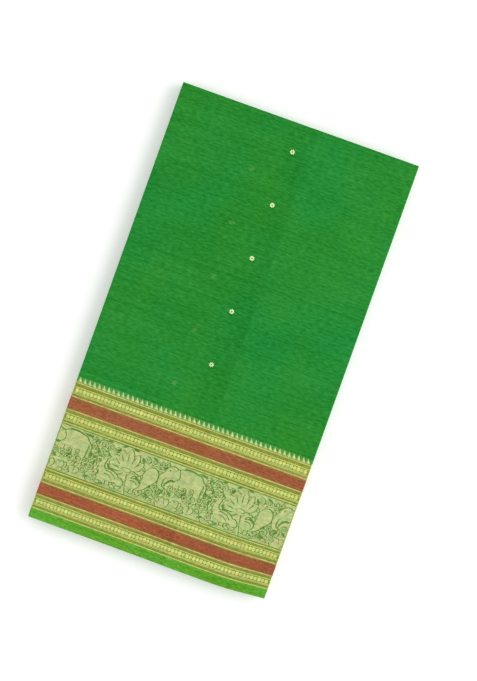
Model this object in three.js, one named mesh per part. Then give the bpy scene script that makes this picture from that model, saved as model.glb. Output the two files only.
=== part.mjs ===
// A cotton sari, folded flat for the shelf.
//
// The cloth is one unstitched length. It is doubled across its width, so that both selvedges lie
// together at the front and the half-width fold runs along the back. The doubled length is then laid
// back and forth in panels, and the last short end is tucked in under the top panel.
//
// Millimetres, +Z up. X runs across the pile, from fold to fold. Y runs from the selvedges at the front
// to the half-width fold at the back. The origin is under the middle of the pile, on the surface.

import * as THREE from 'three';

// Sizes of the folded pile
const CLOTH_WIDTH = 1120; // selvedge to selvedge on the loom
const PILE_DEPTH = CLOTH_WIDTH / 2; // front to back, once the width is doubled
const PILE_WIDTH = 303; // one panel, fold to fold
const TUCKED_END = 128; // length of the end that is turned in under the top panel
const DOUBLED_CLOTH = 1; // thickness of one layer, which is two plies
const LAYER_GAP = 0.35; // air between two layers

// The layers from the bottom up. Each row is one layer of doubled cloth.
//   fold   how far the fold that turns it into the next layer is drawn in from the side of the pile
//   lean   how much further in the back end of that fold lies than its front end
//   front  how far its selvedges lie behind the front of the pile
//   back   how far its half-width fold lies inside the back of the pile
const LAYERS = [
  { fold: 2.6, lean: 0.8, front: 3.2, back: 1.8 },
  { fold: 1.9, lean: -0.7, front: 2.4, back: 2.6 },
  { fold: 1.2, lean: -0.5, front: 2.9, back: 1.5 },
  { fold: 2.8, lean: 0.6, front: 1.6, back: 2.2 },
  { fold: 2.2, lean: 1.0, front: 2.2, back: 2.9 },
  { fold: 1.4, lean: -0.9, front: 3.4, back: 1.2 },
  { fold: 3.1, lean: -0.6, front: 2.6, back: 1.9 },
  { fold: 2.3, lean: 0.7, front: 1.4, back: 2.4 },
  { fold: 1.6, lean: 0.5, front: 1.9, back: 1.1 },
  { fold: 3.0, lean: -0.4, front: 2.8, back: 1.7 },
  { fold: 2.4, lean: -0.8, front: 3.1, back: 2.5 },
  { fold: 1.3, lean: 0.9, front: 2.0, back: 2.0 },
  { fold: 1.1, lean: 0.4, front: 1.5, back: 1.3 },
  { fold: 2.1, lean: -0.6, front: 2.3, back: 1.6 },
  { fold: 1.8, lean: -0.3, front: 2.7, back: 1.0 },
  { fold: 1.0, lean: 0.5, front: 1.2, back: 1.4 },
  { fold: 0.0, lean: 0.0, front: 0.9, back: 0.8 },
  { fold: 0.0, lean: 0.0, front: 0.0, back: 0.0 },
];
const LOOSE_END = { fold: 3.4, lean: 1.2 }; // cut end of the bottom layer

// How far the selvedge stands behind the front of the pile, at even steps from the left to the right
const FRONT_EDGE = [1.9, 1.6, 1.3, 0.8, 0.2, 0.4, 4.2];
const FRONT_REACH = 60; // how far back from the selvedge that unevenness has died away

// How much looser the layers lie, as a share of their height
const SIDE_PUFF = 0.045; // at the folded sides, where the loops spring open
const CORNER_PUFF = 0.025; // towards the back left corner
const RAMP = 16; // width of the slope where the top panel climbs onto the tucked end

// How finely each stretch is divided
const PANEL_SPANS = 5;
const TOP_SPANS = 18;
const FOLD_SPANS = 6;
const DEPTH_SPANS = 7;

const PITCH = DOUBLED_CLOTH + LAYER_GAP;
const HALF_WIDTH = PILE_WIDTH / 2;
const HALF_DEPTH = PILE_DEPTH / 2;
const TOP = LAYERS.length - 1;
const TURN_RADIUS = PITCH / 2;
const STRAIGHT_END = HALF_WIDTH - TURN_RADIUS - DOUBLED_CLOTH / 2; // where a panel starts to turn
const TUCK_EDGE = HALF_WIDTH - TUCKED_END;

const middleOf = (level) => DOUBLED_CLOTH / 2 + level * PITCH;
const levelOf = (height) => Math.floor((height + LAYER_GAP / 2) / PITCH);

// A point of the section's middle line, with the way one face of the cloth looks there
const sectionPoint = (x, z, normalX, normalZ) => ({
  at: new THREE.Vector2(x, z),
  normal: new THREE.Vector2(normalX, normalZ),
});

const divided = (spans, place) => Array.from({ length: spans + 1 }, (_, step) => place(step / spans));

// A flat run of cloth from one x to another. heightAt gives the height of its middle.
function panel(fromX, toX, spans, heightAt) {
  const heading = Math.sign(toX - fromX);
  return divided(spans, (share) => {
    const x = THREE.MathUtils.lerp(fromX, toX, share);
    return sectionPoint(x, heightAt(x), 0, heading);
  });
}

// A half-round fold at the end of a panel, up or down to the next level. The panels hold its two ends.
function fold(heading, fromLevel, toLevel) {
  const rise = Math.sign(toLevel - fromLevel);
  const centre = (middleOf(fromLevel) + middleOf(toLevel)) / 2;
  const turn = divided(FOLD_SPANS, (share) => {
    const angle = Math.PI * share;
    const x = heading * (STRAIGHT_END + TURN_RADIUS * Math.sin(angle));
    const z = centre - rise * TURN_RADIUS * Math.cos(angle);
    return sectionPoint(x, z, -rise * Math.sin(angle), heading * Math.cos(angle));
  });
  return turn.slice(1, -1);
}

// The top panel lies one layer higher on the right, where the tucked end is under it
function topPanelHeight(x) {
  const climb = THREE.MathUtils.smoothstep(x, TUCK_EDGE - RAMP, TUCK_EDGE);
  return middleOf(TOP + climb);
}

// The middle line of the cloth, back and forth from the bottom layer to the tucked end
function foldedSection() {
  const line = [];
  for (let level = 0; level < TOP; level += 1) {
    const heading = level % 2 ? 1 : -1;
    const end = heading * STRAIGHT_END;
    line.push(...panel(-end, end, PANEL_SPANS, () => middleOf(level)));
    line.push(...fold(heading, level, level + 1));
  }
  line.push(...panel(-STRAIGHT_END, STRAIGHT_END, TOP_SPANS, topPanelHeight));
  line.push(...fold(1, TOP + 1, TOP));
  line.push(...panel(STRAIGHT_END, TUCK_EDGE, PANEL_SPANS, () => middleOf(TOP)));
  return line;
}

// The section of the cloth itself: its middle line, given thickness
function clothSection() {
  const line = foldedSection();
  const offsetLine = (offset) => line.map(({ at, normal }) => at.clone().addScaledVector(normal, offset));
  const oneFace = offsetLine(DOUBLED_CLOTH / 2);
  const otherFace = offsetLine(-DOUBLED_CLOTH / 2);
  return new THREE.Shape([...oneFace, ...otherFace.reverse()]);
}

const frontEdge = new THREE.SplineCurve(FRONT_EDGE.map((back, step) => new THREE.Vector2(step, back)));

// The row of the fold that ends a layer on one side
function sideFold(level, side) {
  if (side < 0) return LAYERS[2 * Math.floor(level / 2)];
  return level === 0 ? LOOSE_END : LAYERS[2 * Math.floor((level + 1) / 2) - 1];
}

// A layer's own setback, eased into the next layer's across the air between them
function setback(height, column) {
  const level = Math.min(Math.floor(height / PITCH), TOP);
  const next = Math.min(level + 1, TOP);
  const ease = THREE.MathUtils.smoothstep(height - level * PITCH, DOUBLED_CLOTH, PITCH);
  return THREE.MathUtils.lerp(LAYERS[level][column], LAYERS[next][column], ease);
}

// Moves a point of the even pile to where it lies in the uneven one. The underside stays flat.
function settle(point) {
  const across = THREE.MathUtils.clamp(point.x / HALF_WIDTH, -1, 1);
  const along = point.y / HALF_DEPTH;
  const edge = sideFold(levelOf(point.z), Math.sign(across));
  const drawnIn = edge.fold + edge.lean * (along + 1) / 2;
  const front = -HALF_DEPTH + setback(point.z, 'front');
  const back = HALF_DEPTH - setback(point.z, 'back');
  const nearFront = 1 - THREE.MathUtils.smoothstep(point.y + HALF_DEPTH, 0, FRONT_REACH);
  const bow = nearFront * frontEdge.getPoint((across + 1) / 2).y;
  const loose = SIDE_PUFF * across ** 4 + CORNER_PUFF * (1 - across) / 2 * (1 + along) / 2;
  point.x *= 1 - drawnIn / HALF_WIDTH;
  point.y = THREE.MathUtils.lerp(front, back, (along + 1) / 2) + bow;
  point.z *= 1 + loose;
}

function foldedCloth() {
  const geometry = new THREE.ExtrudeGeometry(clothSection(), {
    depth: PILE_DEPTH,
    steps: DEPTH_SPANS,
    bevelEnabled: false,
  });
  geometry.rotateX(Math.PI / 2);
  geometry.translate(0, HALF_DEPTH, 0);
  const places = geometry.attributes.position;
  const point = new THREE.Vector3();
  for (let index = 0; index < places.count; index += 1) {
    point.fromBufferAttribute(places, index);
    settle(point);
    places.setXYZ(index, point.x, point.y, point.z);
  }
  geometry.computeVertexNormals();
  return geometry;
}

const greenCotton = new THREE.MeshStandardMaterial({ color: 0x2c8a32, roughness: 0.85, metalness: 0 });

const sari = new THREE.Group();
const cloth = new THREE.Mesh(foldedCloth(), greenCotton);
cloth.name = 'folded_sari';
sari.add(cloth);

export default sari;
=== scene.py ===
# %% [markdown]
# # A folded cotton sari
#
# A sari is one unstitched length of cloth, here about 5.6 m long and 1.12 m wide. For the shelf it is
# doubled across its width, so that both selvedges meet at the front, and is then laid back and forth in
# panels. This lesson folds that cloth as one thin sheet, dyes it, weaves gold thread into its border and
# lights it as in a plain studio.
#
# The imported model comes first, because it fixes where everything lies: its box gives the size of the pile.
# The pile is worked out in millimetres and made in metres.

from collections import namedtuple
from math import pi, radians

import bmesh
import bpy
import numpy as np
from mathutils.geometry import delaunay_2d_cdt
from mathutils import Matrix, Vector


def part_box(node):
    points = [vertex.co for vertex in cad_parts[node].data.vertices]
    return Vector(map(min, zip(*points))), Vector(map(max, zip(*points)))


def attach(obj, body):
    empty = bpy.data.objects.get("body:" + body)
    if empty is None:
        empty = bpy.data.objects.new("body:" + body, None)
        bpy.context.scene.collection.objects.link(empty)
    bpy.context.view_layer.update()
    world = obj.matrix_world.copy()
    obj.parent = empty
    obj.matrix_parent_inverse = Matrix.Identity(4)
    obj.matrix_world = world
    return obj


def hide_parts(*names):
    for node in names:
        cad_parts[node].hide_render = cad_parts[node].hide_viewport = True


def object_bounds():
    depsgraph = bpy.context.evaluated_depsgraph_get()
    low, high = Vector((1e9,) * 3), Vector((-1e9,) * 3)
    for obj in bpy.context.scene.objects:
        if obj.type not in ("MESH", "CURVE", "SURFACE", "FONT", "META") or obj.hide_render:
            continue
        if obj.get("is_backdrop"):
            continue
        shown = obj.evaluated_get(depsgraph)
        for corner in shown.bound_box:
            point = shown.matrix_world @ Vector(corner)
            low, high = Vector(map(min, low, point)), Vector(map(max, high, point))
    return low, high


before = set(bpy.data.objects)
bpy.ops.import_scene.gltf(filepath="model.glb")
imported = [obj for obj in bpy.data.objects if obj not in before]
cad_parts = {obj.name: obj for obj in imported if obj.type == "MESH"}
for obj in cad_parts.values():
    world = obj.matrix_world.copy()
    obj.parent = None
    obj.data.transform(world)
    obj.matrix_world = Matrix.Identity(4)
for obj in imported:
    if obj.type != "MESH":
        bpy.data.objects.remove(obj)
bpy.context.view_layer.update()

MM = 0.001
PILE = "folded_sari"
HALF_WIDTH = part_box(PILE)[1].x / MM
HALF_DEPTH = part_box(PILE)[1].y / MM
CLOTH_WIDTH = 4 * HALF_DEPTH
print(f"pile {2 * HALF_WIDTH:.1f} by {2 * HALF_DEPTH:.1f} mm, cloth {CLOTH_WIDTH:.0f} mm wide")

# %% [markdown]
# ## How the layers lie
#
# Nobody folds five metres of cloth perfectly. Each fold stops a little short of the one above it, and each
# layer sits a little further back. A simulation would give some unevenness, but not this one, so the layers
# are listed: one row for each, from the bottom up.
#
# `fold` is how far the fold that turns it into the next layer is drawn in, `lean` how much further in the
# back end of that fold lies, and `front` and `back` how far its two other edges stay inside the pile.

# %% The layers of the pile
Layer = namedtuple("Layer", "fold lean front back")
LAYERS = [
    Layer(2.6, 0.8, 3.2, 1.8),
    Layer(1.9, -0.7, 2.4, 2.6),
    Layer(1.2, -0.5, 2.9, 1.5),
    Layer(2.8, 0.6, 1.6, 2.2),
    Layer(2.2, 1.0, 2.2, 2.9),
    Layer(1.4, -0.9, 3.4, 1.2),
    Layer(3.1, -0.6, 2.6, 1.9),
    Layer(2.3, 0.7, 1.4, 2.4),
    Layer(1.6, 0.5, 1.9, 1.1),
    Layer(3.0, -0.4, 2.8, 1.7),
    Layer(2.4, -0.8, 3.1, 2.5),
    Layer(1.3, 0.9, 2.0, 2.0),
    Layer(1.1, 0.4, 1.5, 1.3),
    Layer(2.1, -0.6, 2.3, 1.6),
    Layer(1.8, -0.3, 2.7, 1.0),
    Layer(1.0, 0.5, 1.2, 1.4),
    Layer(0.0, 0.0, 0.9, 0.8),
    Layer(0.0, 0.0, 0.0, 0.0),
]
LOOSE_END = Layer(3.4, 1.2, 0.0, 0.0)
TOP = len(LAYERS) - 1
print(f"{len(LAYERS)} layers of doubled cloth")

# %% [markdown]
# ## Panels and folds
#
# Cut across the pile and the cloth is one line: flat panels, joined by half-round folds. That line could be
# drawn as a curve with a bevel. Plain arrays are used instead, because the same places are needed again for
# the gold thread. Each row of an array holds x, z and the direction in which one face of the cloth looks.

# %% Panels and folds
DOUBLED_CLOTH = 1.0
LAYER_GAP = 0.35
PITCH = DOUBLED_CLOTH + LAYER_GAP
TURN_RADIUS = PITCH / 2
PANEL_END = HALF_WIDTH - TURN_RADIUS - DOUBLED_CLOTH / 2
FOLD_SPANS = 8


def middle_of(level):
    return DOUBLED_CLOTH / 2 + level * PITCH


def panel(x, z):
    heading = np.sign(x[-1] - x[0])
    return np.column_stack([x, np.broadcast_to(z, x.shape), np.zeros_like(x), np.full_like(x, heading)])


def fold(heading, from_level, to_level):
    """A half-round turn to the next layer. The panels hold its two ends."""
    angle = np.linspace(0, pi, FOLD_SPANS + 1)[1:-1]
    rise = np.sign(to_level - from_level)
    centre = (middle_of(from_level) + middle_of(to_level)) / 2
    x = heading * (PANEL_END + TURN_RADIUS * np.sin(angle))
    z = centre - rise * TURN_RADIUS * np.cos(angle)
    return np.column_stack([x, z, -rise * np.sin(angle), heading * np.cos(angle)])


print(f"layers {PITCH} mm apart, folds of {TURN_RADIUS:.2f} mm radius")

# %% [markdown]
# ## The section of the pile
#
# Eighteen panels go up the pile, left and right by turns. The last 128 mm is tucked in under the top panel.
# That hidden end lifts the top panel by one layer, and its edge shows as a faint line a little right of the
# middle. Only the two outer panels are seen whole, so they get more rows than the others.

# %% Fold the section
TUCKED_END = 128.0
TUCK_EDGE = HALF_WIDTH - TUCKED_END
RAMP = 16.0
PANEL_SPANS = 12
BOTTOM_SPANS = 50
TOP_SPANS = 150
FACING_UP = 0.99


def smoothstep(value, low, high):
    share = np.clip((value - low) / (high - low), 0, 1)
    return share * share * (3 - 2 * share)


def top_panel_height(x):
    return middle_of(TOP + smoothstep(x, TUCK_EDGE - RAMP, TUCK_EDGE))


def folded_section():
    rows = []
    for level in range(TOP):
        heading = 1 if level % 2 else -1
        spans = PANEL_SPANS if level else BOTTOM_SPANS
        x = np.linspace(-heading * PANEL_END, heading * PANEL_END, spans + 1)
        rows += [panel(x, middle_of(level)), fold(heading, level, level + 1)]
    top_x = np.linspace(-PANEL_END, PANEL_END, TOP_SPANS + 1)
    tucked_x = np.linspace(PANEL_END, TUCK_EDGE, PANEL_SPANS + 1)
    rows += [panel(top_x, top_panel_height(top_x)), fold(1, TOP + 1, TOP)]
    rows.append(panel(tucked_x, middle_of(TOP)))
    return np.vstack(rows)


section = folded_section()
steps = np.hypot(*np.diff(section[:, :2], axis=0).T)
run = np.concatenate([[0], np.cumsum(steps)])
top_rows = np.flatnonzero((section[:, 1] >= middle_of(TOP)) & (section[:, 3] > FACING_UP))
BOTTOM_END = 2 * PANEL_END
TOP_START, TOP_END = run[top_rows[[0, -1]]]
TOP_MIDDLE = TOP_START + PANEL_END

# %% [markdown]
# ## Old creases
#
# The top panel carries soft troughs where the cloth was once folded another way, and a low ridge over the
# tucked edge. They could be pressed in with the sculpt tools. Written as rows, they stay easy to move: where
# a trough lies, how far it spreads, how deep it is, and how far it wanders from one end to the other.

# %% Old creases
Crease = namedtuple("Crease", "at spread depth wander")
LENGTHWAYS = [
    Crease(-112, 17, 0.22, -9),
    Crease(-50, 13, 0.34, 5),
    Crease(-4, 9, 0.16, -5),
    Crease(92, 18, 0.28, 8),
    Crease(TUCK_EDGE, 1.6, -0.22, 0),
]
CROSSWAYS = [
    Crease(79, 8, 0.16, 6),
    Crease(-92, 15, 0.18, -4),
    Crease(196, 14, 0.20, 5),
]


def trough(creases, place, other):
    """How far the creases that run one way press the cloth down."""
    pressed = 0.0
    for crease in creases:
        off = (place - crease.at - crease.wander * other) / crease.spread
        pressed = pressed + crease.depth * np.exp(-(off**2))
    return pressed


print(f"{len(LENGTHWAYS)} creases lengthways and {len(CROSSWAYS)} crossways")

# %% [markdown]
# ## Uneven edges
#
# Each of the next functions answers one question about an edge: how far a fold is drawn in, how it wavers
# along its length, and how far a selvedge or a back fold stands inside the pile. The front selvedge of the
# whole pile also bows, and a smooth curve through seven measured places gives that bow.

# %% Uneven edges
WAVER = 0.3
WAVER_LENGTH = 170.0
WAVER_STEP = 0.37
LEFT_FOLDS = np.array([LAYERS[min(2 * (level // 2), TOP)] for level in range(TOP + 2)])
RIGHT_FOLDS = np.array([LOOSE_END] + [LAYERS[2 * ((level + 1) // 2) - 1] for level in range(1, TOP + 2)])


def drawn_in(folds, level, from_front):
    fold_inset, lean = folds[level, 0], folds[level, 1]
    return fold_inset + lean * from_front


def wavering(across, y, level):
    """A slow wave along the folds below the top, out of step from one fold to the next."""
    pair = (level + (across > 0)) // 2
    wave = 1 + np.sin(2 * pi * (y / WAVER_LENGTH + WAVER_STEP * pair))
    return WAVER * wave * (level < TOP - 1)


def setback(z, column):
    """A layer's own setback, eased into the next layer's across the air between them."""
    values = np.array([getattr(layer, column) for layer in LAYERS])
    level = np.clip(np.floor(z / PITCH).astype(int), 0, TOP)
    ease = smoothstep(z - level * PITCH, DOUBLED_CLOTH, PITCH)
    return values[level] * (1 - ease) + values[np.minimum(level + 1, TOP)] * ease


def spline(values, share):
    """A smooth curve through evenly spaced values."""
    place = np.clip(share, 0, 1) * (len(values) - 1)
    knot = np.minimum(place.astype(int), len(values) - 2)
    before, start, end, after = (
        np.take(values, np.clip(knot + step, 0, len(values) - 1)) for step in (-1, 0, 1, 2)
    )
    t = place - knot
    slope_in, slope_out = (end - before) / 2, (after - start) / 2
    cubic = 2 * start - 2 * end + slope_in + slope_out
    square = -3 * start + 3 * end - 2 * slope_in - slope_out
    return ((cubic * t + square) * t + slope_in) * t + start


print(f"right folds drawn in by {RIGHT_FOLDS[:, 0].min()} to {RIGHT_FOLDS[:, 0].max()} mm")

# %% [markdown]
# ## Settle the pile
#
# So far the pile is perfect. `settle` moves any point of the perfect pile to its place in the real one. It
# draws in the folds, sets back the edges, bows the selvedge, lets the springy folds stand a little higher
# than the middle, and presses in the creases, which fade quickly below the top. The underside stays flat.
#
# Lattice or Displace modifiers could bend the finished mesh. A function is used because the gold thread goes
# through it too, so thread and cloth can never come apart.

# %% Settle the pile
FRONT_EDGE = [1.9, 1.6, 1.3, 0.8, 0.2, 0.4, 4.2]
FRONT_REACH = 110.0
SIDE_PUFF = 0.045
CORNER_PUFF = 0.025
CREASE_FADE = 3


def settle(x, y, z):
    across = np.clip(x / HALF_WIDTH, -1, 1)
    along = y / HALF_DEPTH
    from_front = (along + 1) / 2
    level = np.clip(np.floor((z + LAYER_GAP / 2) / PITCH).astype(int), 0, TOP + 1)
    left, right = (drawn_in(folds, level, from_front) for folds in (LEFT_FOLDS, RIGHT_FOLDS))
    inset = np.where(across < 0, left, right) + wavering(across, y, level)
    front = -HALF_DEPTH + setback(z, "front")
    back = HALF_DEPTH - setback(z, "back")
    bow = spline(FRONT_EDGE, (across + 1) / 2) * (1 - smoothstep(y + HALF_DEPTH, 0, FRONT_REACH))
    loose = SIDE_PUFF * across**4 + CORNER_PUFF * (1 - across) / 2 * from_front
    pressed = trough(LENGTHWAYS, x, along) + trough(CROSSWAYS, y, across)
    settled_x = x * (1 - inset / HALF_WIDTH)
    settled_y = front + (back - front) * from_front + bow
    settled_z = z * (1 + loose) - pressed * (z / middle_of(TOP)) ** CREASE_FADE
    return np.stack([settled_x, settled_y, settled_z], -1)


corner = settle(np.array([HALF_WIDTH]), np.array([-HALF_DEPTH]), np.array([middle_of(TOP + 1)]))
print("front right corner of the top panel, mm", np.round(corner[0], 2))

# %% [markdown]
# ## The doubled width
#
# The cloth is doubled, so seen from the side its width is a hairpin: out along one ply, round the half-width
# fold at the back, and home along the other. This cell gives that hairpin for one face of the ply, with the
# place across the flat cloth that each of its points came from.

# %% The hairpin
PLY = 0.34
PLY_OFFSET = 0.25
UPPER_SPANS = 64
LOWER_SPANS = 20
NOSE_SPANS = 6


def hairpin(offset):
    """Height above the layer's middle, y, and place across the flat cloth."""
    radius = PLY_OFFSET + offset
    nose = HALF_DEPTH - PLY_OFFSET - PLY / 2
    angle = np.linspace(0, pi, NOSE_SPANS + 1)[1:-1]
    out = np.linspace(-HALF_DEPTH, nose, UPPER_SPANS + 1)
    home = np.linspace(nose, -HALF_DEPTH, LOWER_SPANS + 1)
    height = np.concatenate([np.full_like(out, radius), radius * np.cos(angle), np.full_like(home, -radius)])
    y = np.concatenate([out, nose + radius * np.sin(angle), home])
    round_nose = np.full_like(angle, 2 * HALF_DEPTH)
    across = np.concatenate([out + HALF_DEPTH, round_nose, 3 * HALF_DEPTH - home])
    return height, y, across


print(f"the hairpin has {len(hairpin(0)[0])} points")

# %% [markdown]
# ## Lay out the sheet
#
# The section runs one way and the hairpin the other, so together they give every point of the sheet. That is
# a product of two curves, and it needs no simulation. A plane with Cloth physics could be folded too, but
# eighteen layers would fight each other for minutes.
#
# Both faces of the ply are laid out at once and closed along the rim, so the sheet has a real thickness.

# %% Lay out the sheet
def sheet_face(offset):
    height, y, across = hairpin(offset)
    x = section[:, 0, None] + section[:, 2, None] * height
    z = section[:, 1, None] + section[:, 3, None] * height
    return settle(x, np.broadcast_to(y, x.shape), z), across


def quads(corners):
    """Four-sided faces between neighbouring rows and columns of vertex numbers."""
    ring = [corners[:-1, :-1], corners[1:, :-1], corners[1:, 1:], corners[:-1, 1:]]
    return np.stack(ring, -1).reshape(-1, 4)


outer, across_at = sheet_face(PLY / 2)
inner, _ = sheet_face(-PLY / 2)
rows, columns = outer.shape[:2]
per_face = rows * columns
number = np.arange(per_face).reshape(rows, columns)
rim = np.concatenate([number[:-1, 0], number[-1, :-1], number[:0:-1, -1], number[0, :0:-1], number[:1, 0]])
outer_faces = quads(number)
inner_faces = outer_faces[:, ::-1] + per_face
rim_faces = quads(np.stack([rim, rim + per_face]))
sheet_points = np.concatenate([outer.reshape(-1, 3), inner.reshape(-1, 3)]) * MM
sheet_faces = np.concatenate([outer_faces, inner_faces, rim_faces])
print(f"sheet of {len(sheet_points)} points and {2 * len(sheet_faces)} triangles")

# %% [markdown]
# ## Make the mesh
#
# The arrays become one mesh. Every corner of it remembers where it lies on the flat cloth: metres along the
# length and metres from the first selvedge. That is its `Cloth` map, a UV map like any other. Every colour
# and thread later reads it, so stripes run round the folds as they do on the real thing.

# %% Make the cloth
SHARP = radians(50)


def make_object(name, points, faces):
    mesh = bpy.data.meshes.new(name)
    mesh.from_pydata(points.tolist(), [], faces)
    mesh.update()
    made = bpy.data.objects.new(name, mesh)
    bpy.context.scene.collection.objects.link(made)
    return made


def face_outwards(mesh):
    work = bmesh.new()
    work.from_mesh(mesh)
    bmesh.ops.recalc_face_normals(work, faces=work.faces)
    work.to_mesh(mesh)
    work.free()


def corner_points(mesh):
    """The vertex number at every corner of every face."""
    points = np.empty(len(mesh.loops), dtype=np.int32)
    mesh.loops.foreach_get("vertex_index", points)
    return points


def add_map(mesh, name, per_corner):
    layer = mesh.uv_layers.new(name=name)
    layer.data.foreach_set("uv", np.ascontiguousarray(per_corner, dtype=np.float32).ravel())


cloth = make_object("sari_cloth", sheet_points, sheet_faces.tolist())
face_outwards(cloth.data)
cloth.data.shade_smooth()
cloth.data.set_sharp_from_angle(angle=SHARP)
flat_place = np.stack(np.broadcast_arrays(run[:, None], across_at[None, :]), -1).reshape(-1, 2) * MM
add_map(cloth.data, "Cloth", flat_place[corner_points(cloth.data) % per_face])
print(cloth.name, "spans", np.round(np.array(cloth.dimensions) / MM, 1), "mm")

# %% [markdown]
# ## A second map for baking
#
# When the colours are baked, they go into one square picture. Smart UV Project would give every hidden
# layer as much room as the top. So the square is shared out: half of it to the top panel, a third to the
# underside, and narrow strips at the right to all the other faces.

# %% Share out the bake square
TOP_STRIP = (0.005, 0.495)
UNDER_STRIP = (0.505, 0.800)
FOLDED_STRIP = (0.810, 0.900)
INNER_STRIP = (0.910, 0.980)
RIM_STRIP = (0.988, 0.996)
STRIP_HEIGHT = (0.005, 0.995)


def into(strip, share):
    return strip[0] + (strip[1] - strip[0]) * share


def rim_share(face, point):
    """How far round the rim each corner lies. The last face closes the ring."""
    place = np.zeros(per_face)
    place[rim[:-1]] = np.arange(len(rim) - 1)
    along_rim = place[point % per_face]
    closing = (face == len(sheet_faces) - 1) & (along_rim == 0)
    return np.where(closing, len(rim) - 1, along_rim) / (len(rim) - 1)


def bake_map(mesh):
    point = corner_points(mesh)
    face = np.repeat(np.arange(len(mesh.polygons)), 4)
    is_outer = face < len(outer_faces)
    is_rim = face >= 2 * len(outer_faces)
    face_row, face_column = np.divmod(face % len(outer_faces), columns - 1)
    in_view = is_outer & (face_column < UPPER_SPANS)
    on_top = in_view & (face_row >= top_rows[0]) & (face_row < top_rows[-1])
    on_underside = in_view & (face_row < BOTTOM_SPANS)
    row, column = np.divmod(point % per_face, columns)
    u = np.select(
        [is_rim, on_top, on_underside, is_outer],
        [
            into(RIM_STRIP, (point >= per_face).astype(float)),
            into(TOP_STRIP, (run[row] - TOP_START) / (TOP_END - TOP_START)),
            into(UNDER_STRIP, run[row] / BOTTOM_END),
            into(FOLDED_STRIP, row / (rows - 1)),
        ],
        into(INNER_STRIP, row / (rows - 1)),
    )
    v = np.select(
        [is_rim, on_top | on_underside],
        [rim_share(face, point), across_at[column] / (2 * HALF_DEPTH)],
        column / (columns - 1),
    )
    return np.stack([u, into(STRIP_HEIGHT, v)], -1)


add_map(cloth.data, "OFBake", bake_map(cloth.data))
print("bake square shared out over", len(cloth.data.polygons), "faces")

# %% [markdown]
# ## Bands of the border
#
# The border is woven in bands: a bright selvedge, rust red stripes with browner edges, and olive stripes
# that carry gold. A painted image could show them, but bands are only steps in the distance from the
# selvedge, so a colour ramp holds them exactly and stays sharp at any size.
#
# Each row gives where a band starts, the dyed ground there, and how the band looks as a whole on the layers
# between, where its gold isn't made thread by thread.

# %% Bands of the border
Band = namedtuple("Band", "start ground woven")
BANDS = [
    Band(0.0, "#5fa42f", "#5fa42f"),
    Band(11.9, "#86933a", "#a3af58"),
    Band(30.4, "#936132", "#936132"),
    Band(32.9, "#a1583a", "#a1583a"),
    Band(41.8, "#926535", "#926535"),
    Band(44.4, "#86933a", "#a3af58"),
    Band(64.5, "#608a38", "#a4b870"),
    Band(122.5, "#86933a", "#a3af58"),
    Band(141.3, "#916736", "#916736"),
    Band(143.7, "#9b5b3b", "#9b5b3b"),
    Band(152.9, "#916837", "#916837"),
    Band(155.6, "#86933a", "#a3af58"),
    Band(175.8, "#4a9440", "#4a9440"),
    Band(181.4, "#278830", "#278830"),
]
RAMP_SPAN = 200.0


def linear(code):
    """The linear colour of a hex code, with an alpha of one."""
    channels = [int(code[place : place + 2], 16) / 255 for place in (1, 3, 5)]
    return [c / 12.92 if c <= 0.04045 else ((c + 0.055) / 1.055) ** 2.4 for c in channels] + [1.0]


def fill_ramp(ramp, column):
    ramp.interpolation = "CONSTANT"
    for band in BANDS[1:]:
        ramp.elements.new(band.start / RAMP_SPAN)
    ramp.elements.remove(ramp.elements[-1])
    for element, band in zip(ramp.elements, BANDS):
        element.position = band.start / RAMP_SPAN
        element.color = linear(getattr(band, column))


print(len(BANDS), "bands from the selvedge to the body")

# %% [markdown]
# ## Helpers for shader nodes
#
# A material can be wired by hand in the Shader Editor. In a script, a few helpers keep the wiring readable.
# One adds a node, one does a sum, one moves a number from one range to another, and one makes noise that is
# stretched along the threads. Noise seldom strays far from a half, so `swing` spreads its usual range.

# %% Node helpers
NOISE_RANGE = (0.3, 0.7)
NOISE_DETAIL = 2.0


def add_node(tree, kind, inputs=None, **settings):
    """A new node. Each input is a plain value, or a socket to link from."""
    node = tree.nodes.new(kind)
    for name, value in settings.items():
        setattr(node, name, value)
    for name, value in (inputs or {}).items():
        if isinstance(value, bpy.types.NodeSocket):
            tree.links.new(value, node.inputs[name])
        else:
            node.inputs[name].default_value = value
    return node


def calculate(tree, operation, *values):
    node = add_node(tree, "ShaderNodeMath", dict(enumerate(values)), operation=operation)
    return node.outputs[0]


def total(tree, first, *others):
    for other in others:
        first = calculate(tree, "ADD", first, other)
    return first


def remap(tree, value, old, new, smooth=False):
    """Moves a value from the range old to the range new, and stops at its ends."""
    inputs = {"Value": value, "From Min": old[0], "From Max": old[1], "To Min": new[0], "To Max": new[1]}
    kind = "SMOOTHSTEP" if smooth else "LINEAR"
    return add_node(tree, "ShaderNodeMapRange", inputs, interpolation_type=kind).outputs["Result"]


def mix(tree, factor, start, end, blend="MIX"):
    inputs = {"Factor": factor, "A": start, "B": end}
    return add_node(tree, "ShaderNodeMix", inputs, data_type="RGBA", blend_type=blend).outputs["Result"]


def streaks(tree, place, per_metre):
    """Noise with so many features to a metre, along the cloth and across it."""
    inputs = {0: place, 1: (*per_metre, 1)}
    stretched = add_node(tree, "ShaderNodeVectorMath", inputs, operation="MULTIPLY").outputs[0]
    inputs = {"Vector": stretched, "Scale": 1.0, "Detail": NOISE_DETAIL}
    return add_node(tree, "ShaderNodeTexNoise", inputs, noise_dimensions="2D").outputs[0]


def swing(tree, noise, reach):
    """A number that the noise moves between minus reach and reach."""
    return remap(tree, noise, NOISE_RANGE, (-reach, reach))


def new_material(name):
    made = bpy.data.materials.new(name)
    made.use_nodes = True
    return made, made.node_tree, made.node_tree.nodes["Principled BSDF"]


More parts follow.
